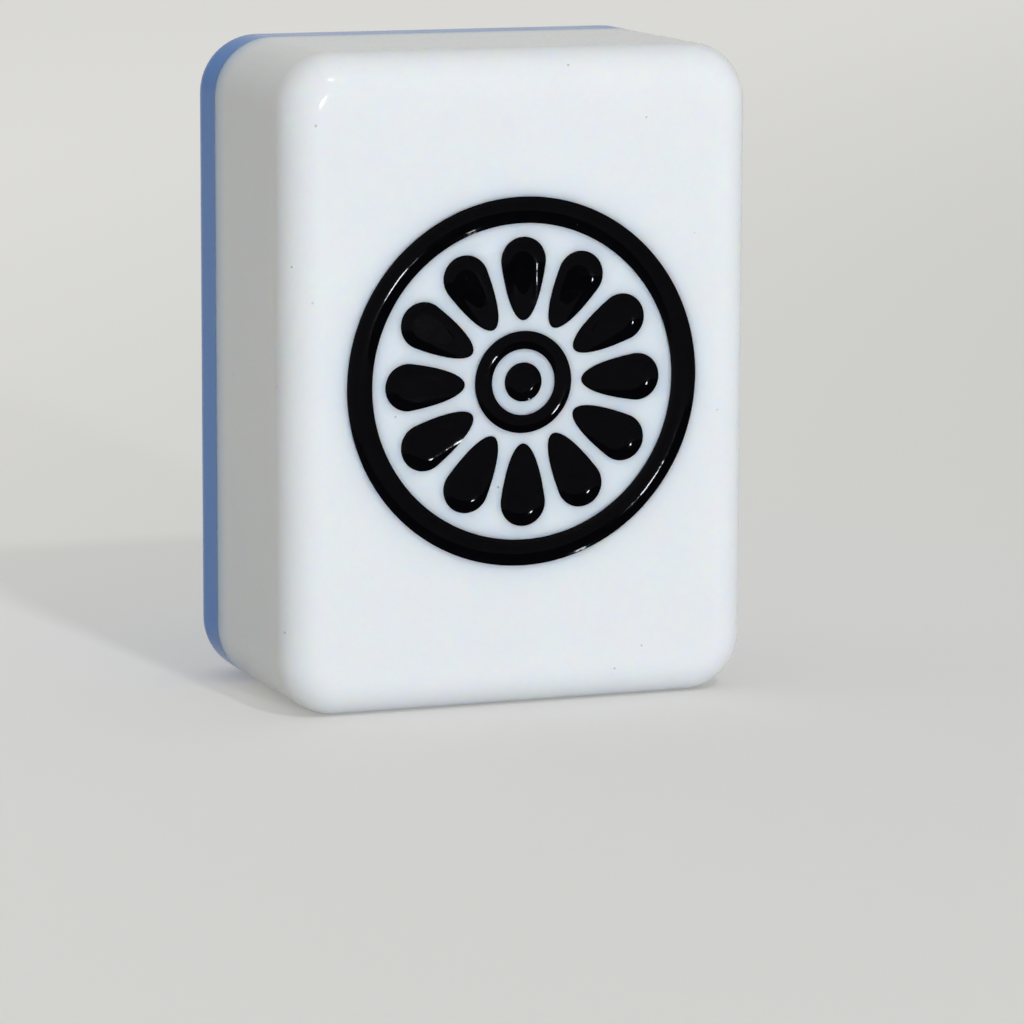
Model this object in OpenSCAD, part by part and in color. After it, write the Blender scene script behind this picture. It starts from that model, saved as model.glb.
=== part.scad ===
// Two-layer mahjong tile standing on its short end, with an engraved face filled with enamel.
// Millimetres, +Z up. The origin is the middle of the tile's footprint.
// The face looks along -Y and the coloured back along +Y.

/* [Tile] */
// Width of the tile, side to side
tile_w = 30; // [26:0.5:44]
// Height of the tile, end to end
tile_h = 40; // [34:0.5:56]
// Depth of the tile, face to back
tile_d = 19; // [14:0.5:30]
// Radius of the four corners seen from the face
corner_r = 3.6; // [3.2:0.1:5]

/* [Layers] */
// Thickness of the coloured back plate
back_t = 5.2; // [3.2:0.1:8]
// Rounding of the edge all round the face
face_edge_r = 2.4; // [0.5:0.1:3]
// Rounding of the edge all round the back
back_edge_r = 2.6; // [0.5:0.1:3]

/* [Medallion] */
// Plain margin between the medallion and the tile's nearer sides
margin = 3.8; // [3:0.1:5]
// Width of the rim line
rim_w = 1.6; // [1.2:0.1:2]
// White land between the rim line and the petals
petal_gap = 0.8; // [0.4:0.1:1.2]
// White land between neighbouring petals at their round ends
petal_land = 0.9; // [0.4:0.1:1.4]
// Number of petals
petal_n = 12; // [8:1:16]
// White land between the petals' tips and the ring
ring_gap = 0.5; // [0.3:0.1:1]
// Width of the ring line
ring_w = 1.1; // [0.8:0.1:1.5]
// White land between the ring line and the heart
heart_gap = 0.8; // [0.4:0.1:1.2]
// Width of the heart, the round dot in the middle
heart_d = 2.4; // [1.6:0.1:3.2]

/* [Engraving] */
// Depth of the engraving below the face
cut_depth = 0.8; // [0.4:0.05:1]
// Depth of the enamel's surface below the face
enamel_drop = 0.08; // [0.04:0.02:0.2]

/* [Hidden] */
$fn = 96;
// How far a cutting solid runs past the face that it cuts
overrun = 0.05;
// The face plane, and the seam where the two layers are bonded
face_y = -tile_d / 2;
seam_y = tile_d / 2 - back_t;
// Medallion, worked out from its outer edge inwards and from its heart outwards
rim_outer = min(tile_w, tile_h) / 2 - margin;
petal_outer = rim_outer - rim_w - petal_gap;
ring_outer = heart_d / 2 + heart_gap + ring_w;
petal_inner = ring_outer + ring_gap;
// Width of a petal's round end, which leaves the land beside its neighbour
petal_chord = 2 * sin(180 / petal_n);
petal_w = (petal_outer * petal_chord - petal_land) / (1 + petal_chord / 2);
// Middle of a petal's round end, and its distance from the tip
petal_mid = petal_outer - petal_w / 2;
petal_reach = petal_mid - petal_inner;
// Colours
white = [0.93, 0.95, 0.96];
blue = [0.16, 0.55, 0.88];
black = [0.02, 0.02, 0.03];

function petal_name(i) = str("petal_inlay_", i);

// A round-nosed cutter leaves a groove of width w: how deep it goes, its radius,
// and how high its middle runs above the face. It goes no deeper than half the width.
function groove_depth(w) = min(cut_depth, w / 2);
function cutter_r(w) = (w * w / 4 + pow(groove_depth(w), 2)) / (2 * groove_depth(w));
function cutter_z(w) = cutter_r(w) - groove_depth(w);

// Half of a layer's cross-section: square at the seam, rounded at the outer edge
module edge_profile(reach, depth, edge_r) {
    square([reach, depth - edge_r]);
    square([reach - edge_r, depth]);
    translate([reach - edge_r, depth - edge_r])
        intersection() {
            circle(edge_r);
            square(edge_r);
        }
}

// A bar with that rounded cross-section on both sides, lying along Y
module rounded_bar(w, len, depth, edge_r) {
    rotate([90, 0, 0])
        linear_extrude(len, center = true) {
            edge_profile(w / 2, depth, edge_r);
            mirror([1, 0]) edge_profile(w / 2, depth, edge_r);
        }
}

// One layer lying flat with its seam at z = 0: two crossed bars, and a quarter turn of the same
// cross-section in each corner
module rounded_layer(depth, edge_r) {
    inner_w = tile_w - 2 * corner_r;
    inner_h = tile_h - 2 * corner_r;
    rounded_bar(tile_w, inner_h, depth, edge_r);
    rotate([0, 0, 90]) rounded_bar(tile_h, inner_w, depth, edge_r);
    for (left = [0, 1], low = [0, 1])
        mirror([left, 0, 0])
            mirror([0, low, 0])
                translate([inner_w / 2, inner_h / 2, 0])
                    rotate_extrude(angle = 90) edge_profile(corner_r, depth, edge_r);
}

// Stands a flat-lying shape up at depth y, with its +Z turned to the face
module stand(y) {
    translate([0, y, tile_h / 2]) rotate([90, 0, 0]) children();
}

// A ring groove: the cutter runs once round at the given outer radius
module ring_cut(outer_r, w) {
    translate([0, 0, cutter_z(w)])
        rotate_extrude() translate([outer_r - w / 2, 0]) circle(cutter_r(w));
}

// The heart: one straight plunge of the cutter
module heart_cut() {
    translate([0, 0, cutter_z(heart_d)]) sphere(cutter_r(heart_d));
}

// A petal: the cutter plunges at the round end and climbs out of the face at the tip.
// The climb is the slope at which the groove's floor, tangent to the cutter, meets the tip.
module petal_cut(i) {
    r = cutter_r(petal_w);
    z = cutter_z(petal_w);
    climb = atan2(petal_reach, z) - acos(r / norm([petal_reach, z]));
    run = petal_reach + r;
    rotate([0, 0, -360 * (i - 1) / petal_n])
        translate([0, petal_mid, z])
            rotate([90 - climb, 0, 0])
                rotate_extrude() {
                    square([r, run]);
                    intersection() {
                        circle(r);
                        translate([0, -r]) square([r, r]);
                    }
                }
}

// The part of a cutter's path that lies below the given height over the face
module below(top) {
    bed_w = 2 * (rim_outer + rim_w);
    bed_t = 2 * cut_depth;
    intersection() {
        children();
        translate([-bed_w / 2, -bed_w / 2, top - bed_t]) cube([bed_w, bed_w, bed_t]);
    }
}

// Everything that is cut into the face
module engraving() {
    below(overrun) ring_cut(rim_outer, rim_w);
    below(overrun) ring_cut(ring_outer, ring_w);
    below(overrun) heart_cut();
    for (i = [1:petal_n]) below(overrun) petal_cut(i);
}

// Enamel fills a recess up to just below the face
module enamel() {
    color(black) stand(face_y) below(-enamel_drop) children();
}

module face_block() {
    color(white)
        difference() {
            stand(seam_y) rounded_layer(tile_d - back_t, face_edge_r);
            stand(face_y) engraving();
        }
}

module back_plate() {
    color(blue)
        translate([0, seam_y, 0]) mirror([0, 1, 0]) stand(0) rounded_layer(back_t, back_edge_r);
}

module rim_inlay() {
    enamel() ring_cut(rim_outer, rim_w);
}

module ring_inlay() {
    enamel() ring_cut(ring_outer, ring_w);
}

module heart_inlay() {
    enamel() heart_cut();
}

module petal_inlay(i) {
    enamel() petal_cut(i);
}

face_block();
back_plate();
rim_inlay();
ring_inlay();
heart_inlay();
for (i = [1:petal_n])
    petal_inlay(i);
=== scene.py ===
# %% [markdown]
# A mahjong tile, standing on its short end
#
# The tile is a white block of moulded plastic, bonded to a blue back plate, with a round ornament
# engraved in its face and filled with black enamel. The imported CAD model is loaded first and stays
# fixed. It gives the place and size of every piece, and the pieces modelled here stand in for it.

# %% Load the frame and keep the CAD box
import math

import bmesh
import bpy
from mathutils import Matrix, Vector


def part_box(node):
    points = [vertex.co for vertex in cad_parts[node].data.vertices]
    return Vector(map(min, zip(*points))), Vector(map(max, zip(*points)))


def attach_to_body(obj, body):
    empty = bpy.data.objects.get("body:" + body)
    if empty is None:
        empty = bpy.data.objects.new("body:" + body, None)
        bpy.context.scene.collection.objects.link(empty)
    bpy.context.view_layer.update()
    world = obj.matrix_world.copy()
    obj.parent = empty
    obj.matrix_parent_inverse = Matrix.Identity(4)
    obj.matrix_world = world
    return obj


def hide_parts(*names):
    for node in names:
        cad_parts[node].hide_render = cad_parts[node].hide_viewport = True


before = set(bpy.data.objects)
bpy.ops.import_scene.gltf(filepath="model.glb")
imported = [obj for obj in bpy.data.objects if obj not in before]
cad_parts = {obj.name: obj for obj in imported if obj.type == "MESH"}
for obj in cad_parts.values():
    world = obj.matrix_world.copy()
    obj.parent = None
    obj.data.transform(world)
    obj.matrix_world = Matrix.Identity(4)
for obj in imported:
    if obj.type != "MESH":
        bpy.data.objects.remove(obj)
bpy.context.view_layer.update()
mm = 0.001


# %% [markdown]
# Sizes
#
# The outer sizes are read from the CAD solids, so the new pieces can't drift from them. The engraving
# is drawn from a few widths and depths, the ones that its cutter would be set to. Several of Blender's
# tools merge points that are closer than a tenth of a millimetre, which is coarser than the enamel's
# lip. So the tile is modelled with one unit for a millimetre, and each finished piece is scaled down.

# %% Measure the layers
block_low, block_high = (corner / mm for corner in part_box("face_block"))
plate_low, plate_high = (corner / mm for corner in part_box("back_plate"))
face_y, seam_y = block_low.y, plate_low.y
corner_r, face_edge_r, back_edge_r = 3.6, 2.4, 2.6
medallion = Vector((0, face_y, (block_low.z + block_high.z) / 2))
print("face at y", round(face_y, 3), "seam at y", round(seam_y, 3), "mm")

# %% Set the engraving
cut_depth, enamel_drop = 0.8, 0.03
rim_outer, rim_w = 11.2, 1.6
ring_outer, ring_w = 3.1, 1.1
heart_d = 2.4
petal_n, petal_outer, petal_inner, petal_land = 12, 8.8, 3.6, 0.9
petal_chord = 2 * math.sin(math.pi / petal_n)
petal_w = (petal_outer * petal_chord - petal_land) / (1 + petal_chord / 2)
petal_mid = petal_outer - petal_w / 2
petal_reach = petal_mid - petal_inner
print("petal", round(petal_w, 3), "mm wide, middle of its round end at", round(petal_mid, 3), "mm")

# %% [markdown]
# Working in edit mode
#
# Operators act on whatever is selected. These small helpers leave only one object selected and then
# pick its edges or faces by a test on their place, the way a hand would click them.

# %% Selection helpers
same_place = 1e-4


def near(a, b):
    return abs(a - b) < same_place


def only(piece):
    bpy.ops.object.select_all(action="DESELECT")
    piece.select_set(True)
    bpy.context.view_layer.objects.active = piece


def edit(piece):
    only(piece)
    bpy.ops.object.mode_set(mode="EDIT")


def done():
    bpy.ops.object.mode_set(mode="OBJECT")


def pick_all():
    bpy.ops.mesh.select_all(action="SELECT")


def pick(kind, test):
    """Selects the vertices, edges or faces of the mesh in edit mode that pass the test."""
    bpy.ops.mesh.select_mode(type={"verts": "VERT", "edges": "EDGE", "faces": "FACE"}[kind])
    bpy.ops.mesh.select_all(action="DESELECT")
    piece = bpy.context.edit_object
    mesh = bmesh.from_edit_mesh(piece.data)
    found = [part for part in getattr(mesh, kind) if test(part)]
    for part in found:
        part.select_set(True)
    mesh.select_flush_mode()
    bmesh.update_edit_mesh(piece.data)
    return len(found)


def place_applied(piece):
    only(piece)
    bpy.ops.object.transform_apply(location=True, rotation=True, scale=True)
    return piece


def named(name):
    piece = bpy.context.active_object
    piece.name = piece.data.name = name
    return piece


bpy.ops.object.select_all(action="DESELECT")
print("helpers ready")

# %% [markdown]
# The two layers
#
# A real tile is cut from a slab of white plastic with a blue layer bonded to it, then tumbled until
# every edge is round. A box with a bevel modifier would round all edges alike, but here the corners
# seen from the face are rounder than the edges round the face, and the seam stays square. So each
# layer is a box whose four long edges are bevelled first, and then the rim of its outer face.

# %% A layer: box, round corners, round rim
corner_steps, rim_steps = 16, 14


def runs_along_depth(edge):
    start, end = (v.co for v in edge.verts)
    return near(start.x, end.x) and near(start.z, end.z)


def rounded_layer(name, low, high, rim_y, rim_r):
    bpy.ops.mesh.primitive_cube_add(size=1, location=(low + high) / 2)
    layer = named(name)
    layer.scale = high - low
    place_applied(layer)
    edit(layer)
    pick("edges", runs_along_depth)
    bpy.ops.mesh.bevel(offset=corner_r, segments=corner_steps, profile=0.5, affect="EDGES")
    rim = pick("edges", lambda e: all(near(v.co.y, rim_y) for v in e.verts))
    bpy.ops.mesh.bevel(offset=rim_r, segments=rim_steps, profile=0.5, affect="EDGES")
    done()
    print(name, "rim of", rim, "edges rounded,", len(layer.data.polygons), "faces")
    return layer


white_block = rounded_layer("white_block", block_low, block_high, face_y, face_edge_r)
blue_back = rounded_layer("blue_back", plate_low, plate_high, plate_high.y, back_edge_r)

# %% [markdown]
# Passes of the cutter
#
# The engraving is cut by a round-nosed cutter: once round for each ring, one plunge for the heart, and
# a slanted stroke for each petal that starts deep and climbs out of the face at its tip. Each pass is
# modelled as the solid that the nose sweeps. A groove of a given width and depth needs a nose of one
# radius only, which the first function works out.

# %% Nose of a pass
trim_tolerance = 1e-5


def nose(width, depth):
    """Radius of the nose, and how far its middle stays above the surface that it cuts."""
    radius = (width * width / 4 + depth * depth) / (2 * depth)
    return radius, radius - depth


def climb_angle(reach, radius, height):
    """Slope at which the floor of a stroke, tangent to the nose, comes up at the given reach."""
    return math.atan2(reach, height) - math.acos(radius / math.hypot(reach, height))


def cut_off(level, close):
    """In edit mode, cuts off what stands above the given level below the face."""
    pick_all()
    bpy.ops.mesh.bisect(plane_co=(0, face_y + level, 0), plane_no=(0, -1, 0), use_fill=close,
                        clear_outer=True, threshold=trim_tolerance)


def trim(piece, level):
    edit(piece)
    cut_off(level, close=True)
    done()
    return piece


print("rim nose:", [round(v, 3) for v in nose(rim_w, cut_depth)], "mm")

# %% [markdown]
# A ring pass is a circle spun round the middle of the medallion. The circle is trimmed to the part that
# matters before the spin, because a spun outline closes on itself without any filling.

# %% Ring pass
nose_points, turn_steps = 96, 160


def ring_pass(name, middle_r, radius, height, level):
    """A nose of this radius, its middle this far above the face, run round at middle_r."""
    bpy.ops.mesh.primitive_circle_add(
        vertices=nose_points, radius=radius, fill_type="NGON",
        location=medallion + Vector((middle_r, -height, 0)),
    )
    groove = place_applied(named(name))
    edit(groove)
    cut_off(level, close=False)
    pick_all()
    bpy.ops.mesh.delete(type="ONLY_FACE")
    pick_all()
    bpy.ops.mesh.spin(steps=turn_steps, angle=math.tau, center=medallion, axis=(0, 1, 0))
    pick_all()
    bpy.ops.mesh.remove_doubles(threshold=same_place)
    bpy.ops.mesh.normals_make_consistent(inside=False)
    done()
    return groove


print("a ring is spun in", turn_steps, "steps")

# %% [markdown]
# The heart is one plunge of the nose, so a ball trimmed at the surface. A petal stroke is a ball cut in
# half and drawn out into a rod, then turned about the ball's middle by the angle of the climb.

# %% Plunge and stroke
ball = {"segments": 64, "ring_count": 48}


def heart_pass(name, radius, height, level):
    bpy.ops.mesh.primitive_uv_sphere_add(
        radius=radius, location=medallion + Vector((0, -height, 0)), rotation=(math.pi / 2, 0, 0), **ball
    )
    return trim(place_applied(named(name)), level)


def petal_pass(name, radius, height, climb, level):
    bpy.ops.mesh.primitive_uv_sphere_add(radius=radius, **ball)
    stroke = place_applied(named(name))
    rod = petal_reach + 2 * radius
    edit(stroke)
    pick("verts", lambda v: v.co.z < -same_place)
    bpy.ops.mesh.delete(type="VERT")
    pick("edges", lambda e: e.is_boundary)
    bpy.ops.mesh.extrude_edges_move(TRANSFORM_OT_translate={"value": (0, 0, -rod)})
    bpy.ops.mesh.edge_face_add()
    done()
    stroke.rotation_euler = (-climb, 0, 0)
    stroke.location = medallion + Vector((0, -height, petal_mid))
    return trim(place_applied(stroke), level)


def petal_copy(first, number, name):
    """A copy of the first petal with its own mesh, turned clockwise to its place on the face."""
    petal = first.copy()
    petal.data = first.data.copy()
    petal.name = petal.data.name = name
    bpy.context.collection.objects.link(petal)
    turn = Matrix.Rotation(math.tau * (number - 1) / petal_n, 4, "Y")
    petal.matrix_world = Matrix.Translation(medallion) @ turn @ Matrix.Translation(-medallion)
    return place_applied(petal)


print("a petal is stroked over", round(petal_reach, 3), "mm")

# %% [markdown]
# Engraving the white block
#
# Every pass is trimmed a little above the face, so the chips don't touch each other, and taken from the
# block with a boolean difference. Drawing the grooves into the face by hand would need a new layout of
# edges for each petal, and the boolean leaves exact outlines.

# %% Cut the recesses
proud = -0.05
rim_nose = nose(rim_w, cut_depth)
ring_nose = nose(ring_w, min(cut_depth, ring_w / 2))
heart_nose = nose(heart_d, cut_depth)
petal_nose = nose(petal_w, cut_depth)
petal_climb = climb_angle(petal_reach, *petal_nose)


def cut_with(piece, tool):
    only(piece)
    step = piece.modifiers.new("cut", "BOOLEAN")
    step.operation, step.solver, step.object = "DIFFERENCE", "EXACT", tool
    bpy.ops.object.modifier_apply(modifier=step.name)
    bpy.data.objects.remove(tool)


chips = [
    ring_pass("rim_chip", rim_outer - rim_w / 2, *rim_nose, proud),
    ring_pass("ring_chip", ring_outer - ring_w / 2, *ring_nose, proud),
    heart_pass("heart_chip", *heart_nose, proud),
]
first_chip = petal_pass("petal_chip", *petal_nose, petal_climb, proud)
chips += [petal_copy(first_chip, i, f"petal_chip_{i}") for i in range(2, petal_n + 1)] + [first_chip]
for chip in chips:
    cut_with(white_block, chip)
print("white block after", len(chips), "cuts:", len(white_block.data.polygons), "faces")

# %% [markdown]
# Polishing takes the sharpness off the lips of the recesses. The lip edges lie between the flat face
# and a groove, so they are found by the two faces that meet there, and bevelled very lightly.

# %% Soften the lips
lip_r, lip_steps = 0.07, 3
flat_to_face = -0.9999
lip_reach = rim_outer + 0.5


def is_lip(edge):
    if not all(near(v.co.y, face_y) for v in edge.verts) or len(edge.link_faces) != 2:
        return False
    flat = [face.normal.y < flat_to_face for face in edge.link_faces]
    return flat[0] != flat[1] and all((v.co - medallion).length < lip_reach for v in edge.verts)


edit(white_block)
lips = pick("edges", is_lip)
bpy.ops.mesh.bevel(offset=lip_r, segments=lip_steps, profile=0.5, affect="EDGES", clamp_overlap=True)
done()
print(lips, "lip edges softened")

# %% [markdown]
# The enamel
#
# Enamel is poured in wet and shrinks as it dries. Its surface sinks, and round its rim it climbs the walls
# in a small curl, which is what catches the light. A ring is so narrow that the two curls meet, so its
# fill is the same pass trimmed just below the face with a round groove taken out of its top.

# %% Ring fills
curl_r, lip_share = 1.4, 0.97


def ring_fill(name, outer, width, pass_nose):
    middle_r = outer - width / 2
    half = lip_share * math.sqrt(pass_nose[0] ** 2 - (pass_nose[1] + enamel_drop) ** 2)
    curl_height = math.sqrt(curl_r**2 - half**2) - enamel_drop
    fill = ring_pass(name, middle_r, *pass_nose, enamel_drop)
    cut_with(fill, ring_pass("curl", middle_r, curl_r, curl_height, proud))
    return fill


rim_fill = ring_fill("enamel_rim", rim_outer, rim_w, rim_nose)
hub_fill = ring_fill("enamel_ring", ring_outer, ring_w, ring_nose)
print("ring fills:", [len(p.data.polygons) for p in (rim_fill, hub_fill)], "faces")

# %% [markdown]
# The heart and the petals are wide enough for a flat floor inside the curl. Their top face is extruded
# several times, each time shrunk towards a middle point and sunk a little less than before, so the steps
# follow a curve that is steepest at the wall. Enamel sinks most where it lies deepest, so a petal's top
# swings down about its shallow tip instead of sinking evenly, which would bare the floor of the tip.
# Shrinking the top steepens that slope, to nearly five degrees in the end. With a deeper sink one petal
# leans far enough to mirror the brightly lit floor in front of the low lamp, and looks grey.

# %% Heart and petal fills
curl_steps, curl_share, sink = 8, 0.5, 0.18
faces_out = -0.99
petal_tip = medallion + Vector((0, enamel_drop, petal_inner))
petal_centre = medallion + Vector((0, 0, petal_mid - 0.1 * petal_reach))


def is_top(face):
    return face.normal.y < faces_out and near(face.calc_center_median().y, face_y + enamel_drop)


def sink_top(fill, centre, move):
    edit(fill)
    pick("faces", is_top)
    size_before, way_before = 1.0, 0.0
    for step in range(1, curl_steps + 1):
        share = step / curl_steps
        size, way = 1 - curl_share * share, 1 - (1 - share) ** 2
        shrink = size / size_before
        bpy.ops.mesh.extrude_region_move(TRANSFORM_OT_translate={"value": (0, 0, 0)})
        move(way - way_before)
        bpy.ops.transform.resize(value=(shrink, 1, shrink), center_override=centre)
        size_before, way_before = size, way
    done()
    return fill


def straight_down(part):
    bpy.ops.transform.translate(value=(0, sink * part, 0))


def swing_down(part):
    angle = part * sink / petal_reach
    bpy.ops.transform.rotate(value=angle, orient_axis="X", center_override=petal_tip)


heart_fill = sink_top(heart_pass("enamel_heart", *heart_nose, enamel_drop), medallion, straight_down)
petal_fill = petal_pass("enamel_petal_01", *petal_nose, petal_climb, enamel_drop)
sink_top(petal_fill, petal_centre, swing_down)
petals = [petal_fill]
petals += [petal_copy(petal_fill, i, f"enamel_petal_{i:02d}") for i in range(2, petal_n + 1)]
print("petal fill:", len(petal_fill.data.polygons), "faces, copied to", len(petals))

# %% [markdown]
# Smooth shading
#
# The bevels are many narrow strips that should read as one round surface, while lips and seams stay
# crisp. Shading smooth by angle does that, and weighted normals keep the broad flat faces flat.

# %% Shade the pieces
crisp_angle = math.radians(35)
pieces = [white_block, blue_back, rim_fill, hub_fill, heart_fill] + petals
for piece in pieces:
    only(piece)
    bpy.ops.object.shade_smooth_by_angle(angle=crisp_angle)
    weigh = piece.modifiers.new("weigh", "WEIGHTED_NORMAL")
    weigh.keep_sharp = True
    bpy.ops.object.modifier_apply(modifier=weigh.name)
    piece.scale = (mm, mm, mm)
    place_applied(piece)
print("shaded and scaled", len(pieces), "pieces")

# %% [markdown]
# Materials
#
# Colours are written as they look on a screen and turned to linear light by one function. The others
# each add one kind of node and hand back its output, so a material reads as a short list of steps. All
# patterns hang on Object coordinates, and their scale is one over a real size.

# %% Material helpers
def linear(hex_colour):
    channels = [int(hex_colour[i:i + 2], 16) / 255 for i in (1, 3, 5)]
    return [c / 12.92 if c <= 0.04045 else ((c + 0.055) / 1.055) ** 2.4 for c in channels] + [1.0]


def node(tree, kind, settings=None, links=None):
    """Adds a node. Settings are properties or socket values, links are sockets and what feeds them."""
    made = tree.nodes.new(kind)
    for key, value in (settings or {}).items():
        if isinstance(key, str) and hasattr(made, key):
            setattr(made, key, value)
        else:
            made.inputs[key].default_value = value
    for key, source in (links or {}).items():
        tree.links.new(source, made.inputs[key])
    return made


def new_material(name):
    material = bpy.data.materials.new(name)
    material.use_nodes = True
    material.node_tree.nodes.clear()
    return material, material.node_tree


# The Mix node has sockets for every kind of data, so its colour sockets are named by number
mix_fac, mix_a, mix_b, mix_out = 0, 6, 7, 2
print("a mid grey in linear light:", round(linear("#808080")[0], 3))

# %% Node helpers
def noise(tree, place, size, detail):
    made = node(tree, "ShaderNodeTexNoise", {"Scale": 1 / size, "Detail": detail}, {"Vector": place})
    return made.outputs["Fac"]


def ranged(tree, value, start, end, low=0.0, high=1.0, curve="LINEAR"):
    """Turns the span from start to end into the span from low to high, and stops there."""
    spans = {"From Min": start, "From Max": end, "To Min": low, "To Max": high}
    made = node(tree, "ShaderNodeMapRange", {"interpolation_type": curve, **spans}, {"Value": value})
    return made.outputs["Result"]


def fed(first, second, keys):
    """Sorts two inputs into plain values and links."""
    both = dict(zip(keys, (first, second)))
    links = {key: value for key, value in both.items() if isinstance(value, bpy.types.NodeSocket)}
    return {key: value for key, value in both.items() if key not in links}, links


def maths(tree, operation, first, second):
    values, links = fed(first, second, (0, 1))
    return node(tree, "ShaderNodeMath", {"operation": operation, **values}, links).outputs["Value"]


def blend(tree, factor, first, second):
    """Mixes two colours, each a screen colour or the output that gives it."""
    first, second = (linear(c) if isinstance(c, str) else c for c in (first, second))
    values, links = fed(first, second, (mix_a, mix_b))
    mixed = node(tree, "ShaderNodeMix", {"data_type": "RGBA", **values}, {mix_fac: factor, **links})
    return mixed.outputs[mix_out]


def raised(tree, height, strength, distance, under=None):
    links = {"Height": height, "Normal": under} if under else {"Height": height}
    made = node(tree, "ShaderNodeBump", {"Strength": strength, "Distance": distance}, links)
    return made.outputs["Normal"]


def scattered(tree, place, cell):
    """Cells of one size: the distance to each one's middle, and a number of its own."""
    cells = node(tree, "ShaderNodeTexVoronoi", {"Scale": 1 / cell}, {"Vector": place})
    chance = node(tree, "ShaderNodeSeparateColor", links={"Color": cells.outputs["Color"]})
    return cells.outputs["Distance"], chance.outputs["Red"]


def specks(tree, place, cell, edge, core, odds, most):
    """Small round specks, at most one to a cell and missing from many cells."""
    distance, chance = scattered(tree, place, cell)
    return maths(tree, "MULTIPLY", ranged(tree, distance, edge, core), ranged(tree, chance, *odds, 0.0, most))


def surfaced(tree, shader):
    node(tree, "ShaderNodeOutputMaterial", links={"Surface": shader.outputs["BSDF"]})


print("node helpers ready")

# %% [markdown]
# White layer
#
# Melamine resin, pressed hot and polished. It is hard and glossy, and a little light goes into it and
# comes out a few millimetres away, which softens its shadows and leaves a cool grey halo round the black
# fills. Red light travels furthest in it, so its radius is the largest. Next to the seam the blue layer
# shows through. Grey dust specks of a tenth of a millimetre are pressed into it, and handling leaves
# streaks in the gloss that are too fine to feel.

# %% White melamine: colour
bleed_reach = 2.6
white_material, tree = new_material("white_melamine_pressed")
place = node(tree, "ShaderNodeTexCoord").outputs["Object"]
tone = blend(tree, noise(tree, place, 7 * mm, 4.0), "#eceff1", "#f3f5f6")
depth = node(tree, "ShaderNodeSeparateXYZ", links={"Vector": place}).outputs["Y"]
near_seam = ranged(tree, depth, (seam_y - bleed_reach) * mm, seam_y * mm, 0.0, 0.8)
tinted = blend(tree, maths(tree, "POWER", near_seam, 2.0), tone, "#80b4f2")
dust = specks(tree, place, 1.6 * mm, 0.065, 0.03, (0.5, 0.95), 0.6)
white_colour = blend(tree, dust, tinted, "#7d807d")
print("white colour of", len(tree.nodes), "nodes")

# %% White melamine: surface
streak_w, streak_len = 0.35 * mm, 5 * mm
along = node(tree, "ShaderNodeMapping", {"Scale": (1 / streak_w, 1 / streak_w, 1 / streak_len)},
             {"Vector": place})
streak = noise(tree, along.outputs["Vector"], 1.0, 3.0)
gloss = ranged(tree, streak, 0.3, 0.7, 0.06, 0.12)
ripple = raised(tree, noise(tree, place, 2.5 * mm, 2.0), 0.05, 0.1 * mm)
white = node(tree, "ShaderNodeBsdfPrincipled",
             {"IOR": 1.5, "Specular IOR Level": 0.28, "Subsurface Weight": 1.0,
              "Subsurface Radius": (1.0, 0.75, 0.55), "Subsurface Scale": 2.0 * mm},
             {"Base Color": white_colour, "Roughness": gloss, "Normal": ripple})
surfaced(tree, white)
print("white material of", len(tree.nodes), "nodes")

# %% [markdown]
# Blue layer
#
# The same resin with a blue pigment, so it is less clear. Its broad back was planed before polishing, and
# fine parallel lines about two thirds of a millimetre apart still show in the gloss along the tile. They are
# bumps in the surface, and they are also painted a little darker in the colour, as painted shade that stands
# in for how they show in the gloss. The lines are kept to the flat back by the direction that the surface
# faces. A few dark specks are pigment.
# A wave texture of scale one has a period of about 0.31, so its scale is that over the pitch.

# %% Blue melamine
line_pitch, wave_period = 0.65 * mm, 0.3142
blue_material, tree = new_material("blue_melamine_pressed")
coordinates = node(tree, "ShaderNodeTexCoord")
place = coordinates.outputs["Object"]
cloud = noise(tree, place, 5 * mm, 4.0)
tone = blend(tree, cloud, "#1a76d0", "#2686de")
pigment = specks(tree, place, 1.4 * mm, 0.06, 0.03, (0.75, 0.98), 0.55)
specked = blend(tree, pigment, tone, "#123f80")
lines = node(tree, "ShaderNodeTexWave",
             {"bands_direction": "X", "Scale": wave_period / line_pitch, "Distortion": 0.8, "Detail": 2.0,
              "Detail Scale": 0.15}, {"Vector": place})
facing = node(tree, "ShaderNodeSeparateXYZ", links={"Vector": coordinates.outputs["Normal"]})
flat_back = ranged(tree, facing.outputs["Y"], 0.97, 0.999)
planing_relief_and_shade = maths(tree, "MULTIPLY", lines.outputs["Fac"], flat_back)
# The planing lines are painted darker in the colour: painted shade for how they show in the gloss.
blue_colour = blend(tree, maths(tree, "MULTIPLY", planing_relief_and_shade, 0.35), specked, "#145cae")
gloss = ranged(tree, cloud, 0.3, 0.7, 0.1, 0.18)
blue = node(tree, "ShaderNodeBsdfPrincipled",
            {"IOR": 1.5, "Specular IOR Level": 0.15, "Subsurface Weight": 0.5,
             "Subsurface Radius": (0.2, 0.5, 1.0), "Subsurface Scale": 0.6 * mm},
            {"Base Color": blue_colour, "Roughness": gloss, "Normal": raised(tree, planing_relief_and_shade, 0.4, 0.03 * mm)})
surfaced(tree, blue)
print("blue material of", len(tree.nodes), "nodes")

# %% [markdown]
# Enamel
#
# Poured gloss enamel, nearly pure black. It dries with a faint skin of waves, and small bubbles burst at
# its surface and leave pits that sparkle. Three cells in four stay smooth. A low specular level keeps the
# pale studio out of the black.

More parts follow.
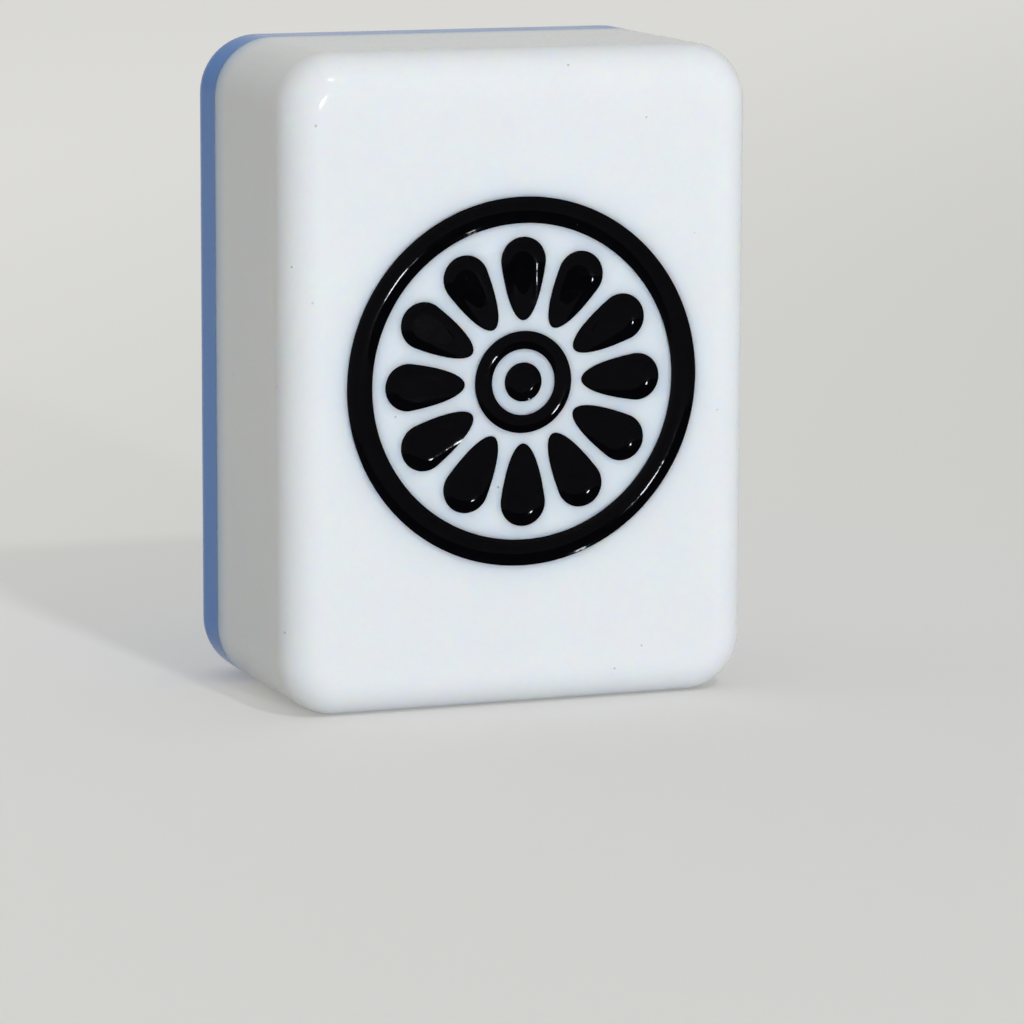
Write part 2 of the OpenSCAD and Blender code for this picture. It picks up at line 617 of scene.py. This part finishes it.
# %% Black enamel
smooth_share = 0.75
black_material, tree = new_material("black_enamel_poured")
place = node(tree, "ShaderNodeTexCoord").outputs["Object"]
wave = noise(tree, place, 0.9 * mm, 2.0)
distance, chance = scattered(tree, place, 0.7 * mm)
pit = ranged(tree, distance, 0.06, 0.14, curve="SMOOTHSTEP")
pits = maths(tree, "MAXIMUM", pit, maths(tree, "LESS_THAN", chance, smooth_share))
skin = raised(tree, wave, 0.12, 0.08 * mm)
black = node(tree, "ShaderNodeBsdfPrincipled", {"IOR": 1.5, "Specular IOR Level": 0.045},
             {"Base Color": blend(tree, wave, "#020204", "#07070a"),
              "Roughness": ranged(tree, wave, 0.0, 1.0, 0.04, 0.09),
              "Normal": raised(tree, pits, 0.6, 0.04 * mm, under=skin)})
surfaced(tree, black)
print("enamel of", len(tree.nodes), "nodes")

# %% [markdown]
# Riding on the frame
#
# The tile has no moving parts, so every piece rides on the one body. Each piece takes its material, and
# the CAD node that it stands for is hidden.

# %% Attach the pieces
def attach(piece, material, cad_node):
    piece.data.materials.clear()
    piece.data.materials.append(material)
    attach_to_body(piece, "root")
    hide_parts(cad_node)


attach(white_block, white_material, "face_block")
attach(blue_back, blue_material, "back_plate")
attach(rim_fill, black_material, "rim_inlay")
attach(hub_fill, black_material, "ring_inlay")
attach(heart_fill, black_material, "heart_inlay")
for number, petal in enumerate(petals, 1):
    attach(petal, black_material, f"petal_inlay_{number}")
print("attached", len(pieces), "pieces")

# %% [markdown]
# Floor, light and camera
#
# The tile stands on a plain pale sheet. Its own colour takes the light and the tile's shadow, and a
# little glow that only the eye and reflections see lifts it to the pale grey of a lit backdrop, so the
# sheet doesn't have to be lit more brightly than the tile. The glow grows gently towards the back left,
# the way a wall behind the tile would be lit.

# %% Floor
glow_start, glow_end, glow_low, glow_high = -0.1, 0.3, 0.22, 0.41
bpy.ops.object.select_all(action="DESELECT")
bpy.ops.mesh.primitive_plane_add(size=8, location=(0, 0, 0))
floor = named("floor")
floor_material, tree = new_material("pale_paper_sheet")
place = node(tree, "ShaderNodeTexCoord").outputs["Object"]
back_left = (-1.0, 1.0, 0.0)
there = node(tree, "ShaderNodeVectorMath", {"operation": "DOT_PRODUCT", 1: back_left}, {0: place})
glow = ranged(tree, there.outputs["Value"], glow_start, glow_end, glow_low, glow_high, "SMOOTHSTEP")
path = node(tree, "ShaderNodeLightPath").outputs
seen = maths(tree, "MAXIMUM", path["Is Camera Ray"], path["Is Glossy Ray"])
seen = maths(tree, "MAXIMUM", seen, path["Is Transmission Ray"])
paper = node(tree, "ShaderNodeBsdfPrincipled",
             {"Base Color": linear("#d6d5d2"), "Roughness": 0.9, "Specular IOR Level": 0.1,
              "Emission Color": linear("#fffefb")},
             {"Emission Strength": maths(tree, "MULTIPLY", seen, glow)})
surfaced(tree, paper)
floor.data.materials.append(floor_material)
print("floor of", len(tree.nodes), "nodes")

# %% [markdown]
# Two lamps stand in front of the face, to the right of the camera, one low and one high. They make the
# sparks on the rounded corner and in the curls of the enamel. A softbox overhead and a studio that is
# brighter behind the tile than behind the camera do the rest, so the black fills reflect something dark.
# The low lamp lights the floor in front of it very brightly, so it stands a metre away, where that patch
# stays out of the picture.

# %% Lamps and studio
middle = Vector((0, 0, 20 * mm))


def lamp(name, azimuth, elevation, distance, size, power, colour):
    a, e = math.radians(azimuth), math.radians(elevation)
    away = Vector((math.sin(a) * math.cos(e), -math.cos(a) * math.cos(e), math.sin(e)))
    light = bpy.data.lights.new(name, "AREA")
    light.shape, light.size, light.energy, light.color = "DISK", size, power, colour
    made = bpy.data.objects.new(name, light)
    made.location = middle + away * distance
    made.rotation_euler = away.to_track_quat("Z", "Y").to_euler()
    bpy.context.scene.collection.objects.link(made)


lamp("low_lamp", azimuth=5, elevation=4, distance=1.0, size=0.08, power=4.95, colour=(0.955, 1.0, 1.07))
lamp("high_lamp", azimuth=4, elevation=42, distance=0.5, size=0.03, power=0.4, colour=(0.98, 1.0, 1.03))
lamp("softbox", azimuth=20, elevation=78, distance=0.6, size=0.5, power=0.2, colour=(1.0, 1.0, 0.98))
world = bpy.data.worlds.new("studio")
bpy.context.scene.world = world
world.use_nodes = True
tree = world.node_tree
tree.nodes.clear()
way = node(tree, "ShaderNodeTexCoord").outputs["Generated"]
behind = node(tree, "ShaderNodeVectorMath", {"operation": "DOT_PRODUCT", 1: (-0.15, 0.98, 0.1)}, {0: way})
level = ranged(tree, behind.outputs["Value"], -1.0, 1.0, 0.05, 0.68)
sky = node(tree, "ShaderNodeBackground", {"Color": linear("#fdfefc")}, {"Strength": level})
node(tree, "ShaderNodeOutputWorld", links={"Surface": sky.outputs["Background"]})
print("lamps and studio set")

# %% [markdown]
# The camera looks at the face from the left and a little from above, with a long lens, so the left side,
# the blue edge and a thin slice of the top show. Its place and lens were worked out so that the outline
# of the tile falls where it falls in the picture, which fixes both the angle and the perspective.

# %% Camera
camera = bpy.data.objects.new("camera", bpy.data.cameras.new("camera"))
bpy.context.scene.collection.objects.link(camera)
camera.data.lens, camera.data.sensor_width = 184.85, 36
camera.data.clip_start, camera.data.clip_end = 0.01, 20
offset = Vector((-111.12, -302.17, 44.52)) * mm
azimuth, elevation, roll = (math.radians(v) for v in (-20.67, 9.51, 0.19))
turn = (Matrix.Rotation(azimuth, 4, "Z") @ Matrix.Rotation(math.pi / 2 - elevation, 4, "X")
        @ Matrix.Rotation(roll, 4, "Z"))
camera.matrix_world = Matrix.Translation(middle + offset) @ turn
bpy.context.scene.camera = camera
bpy.context.scene.view_settings.view_transform = "Standard"
print("camera", round(offset.length / mm), "mm from the tile's middle")
